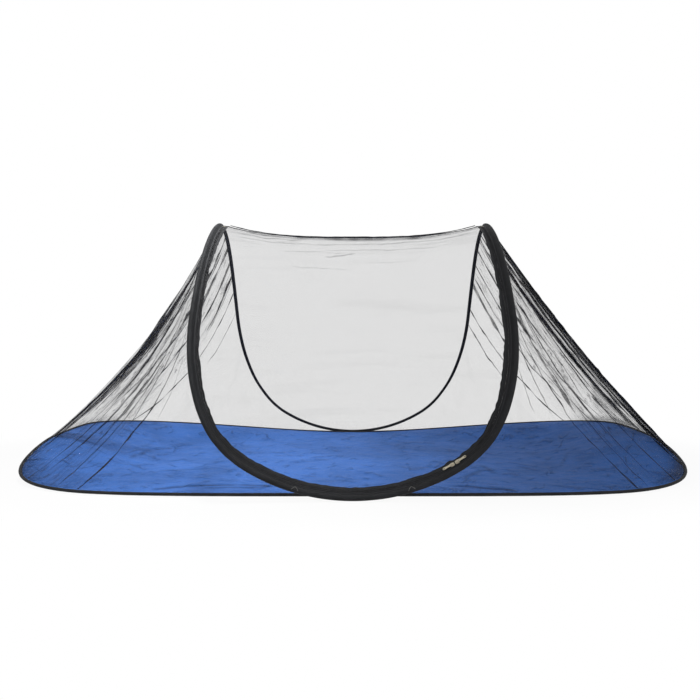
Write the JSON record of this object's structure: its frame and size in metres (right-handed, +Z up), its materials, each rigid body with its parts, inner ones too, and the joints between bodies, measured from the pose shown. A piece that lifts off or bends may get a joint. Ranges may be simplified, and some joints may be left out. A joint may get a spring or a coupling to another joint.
{
  "type": "mosquito net tent",
  "caption": "Long low pop-up mosquito net tent: saddle hoop of spring steel over a floor ring, blue floor, black net and a zipped door.",
  "frame": {"origin": "middle of the floor's underside, on the ground", "axes": "+Z up, +X along the tent's length, the zipped door faces -Y"},
  "size_m": [1.9784, 1.0484, 0.7725],
  "materials": {
    "floor_cloth": "woven polyester, slight sheen",
    "net": "fine knitted mesh",
    "binding": "folded woven tape",
    "zip_tape": "woven zip tape",
    "zip_coil": "nylon coil",
    "spring_steel": "drawn wire",
    "zip_metal": "pale nickel plate"
  },
  "bodies": {
    "tent": {"floor_sheet": "floor_cloth", "floor_edge_binding": "binding", "floor_ring_wire": "spring_steel", "floor_ring_ferrule": "spring_steel", "hoop_wire": "spring_steel", "hoop_wire_ferrule": "spring_steel", "front_hoop_sleeve": "binding", "rear_hoop_sleeve": "binding", "left_end_net_front": "net", "left_end_net_rear": "net", "left_end_seam_tape": "binding", "right_end_net_front": "net", "right_end_net_rear": "net", "right_end_seam_tape": "binding", "rear_net_wall": "net", "ridge_seam_tape": "binding", "zip_tape_frame": "zip_tape", "zip_teeth_frame": "zip_coil", "zip_stop_frame_left": "zip_metal", "zip_stop_frame_right": "zip_metal"},
    "door": {"door_net": "net", "door_top_hem": "binding", "zip_tape_door": "zip_tape", "zip_teeth_door_lower": "zip_coil", "zip_teeth_door_upper": "zip_coil", "zip_stop_door_left": "zip_metal", "zip_stop_door_right": "zip_metal"},
    "slider_lower": {"zip_slider_lower": "zip_metal"},
    "slider_upper": {"zip_slider_upper": "zip_metal"},
    "pull_lower": {"zip_pull_lower": "zip_metal"},
    "pull_upper": {"zip_pull_upper": "zip_metal"}
  },
  "joints": [
    {"name": "door_swing", "type": "hinge", "parent": "tent", "child": "door", "pos_m": [0, -0.0088, 0.76921], "axis": [-1, 0, 0], "range_deg": [0, 110]},
    {"name": "lower_slider_run", "type": "hinge", "parent": "tent", "child": "slider_lower", "pos_m": [0, -0.535, 0.5285], "axis": [0, 1, 0], "range_deg": [0, 58]},
    {"name": "upper_slider_run", "type": "hinge", "parent": "tent", "child": "slider_upper", "pos_m": [0.11846, -0.535, 0.33135], "axis": [0, -1, 0], "range_deg": [0, 19]},
    {"name": "lower_pull_swing", "type": "hinge", "parent": "slider_lower", "child": "pull_lower", "pos_m": [0.25299, -0.52425, 0.09339], "axis": [-0.3546, 0.7071, 0.6117], "range_deg": [0, 110]},
    {"name": "upper_pull_swing", "type": "hinge", "parent": "slider_upper", "child": "pull_upper", "pos_m": [0.26527, -0.52425, 0.10082], "axis": [0.3784, -0.7071, -0.5974], "range_deg": [0, 110]}
  ]
}
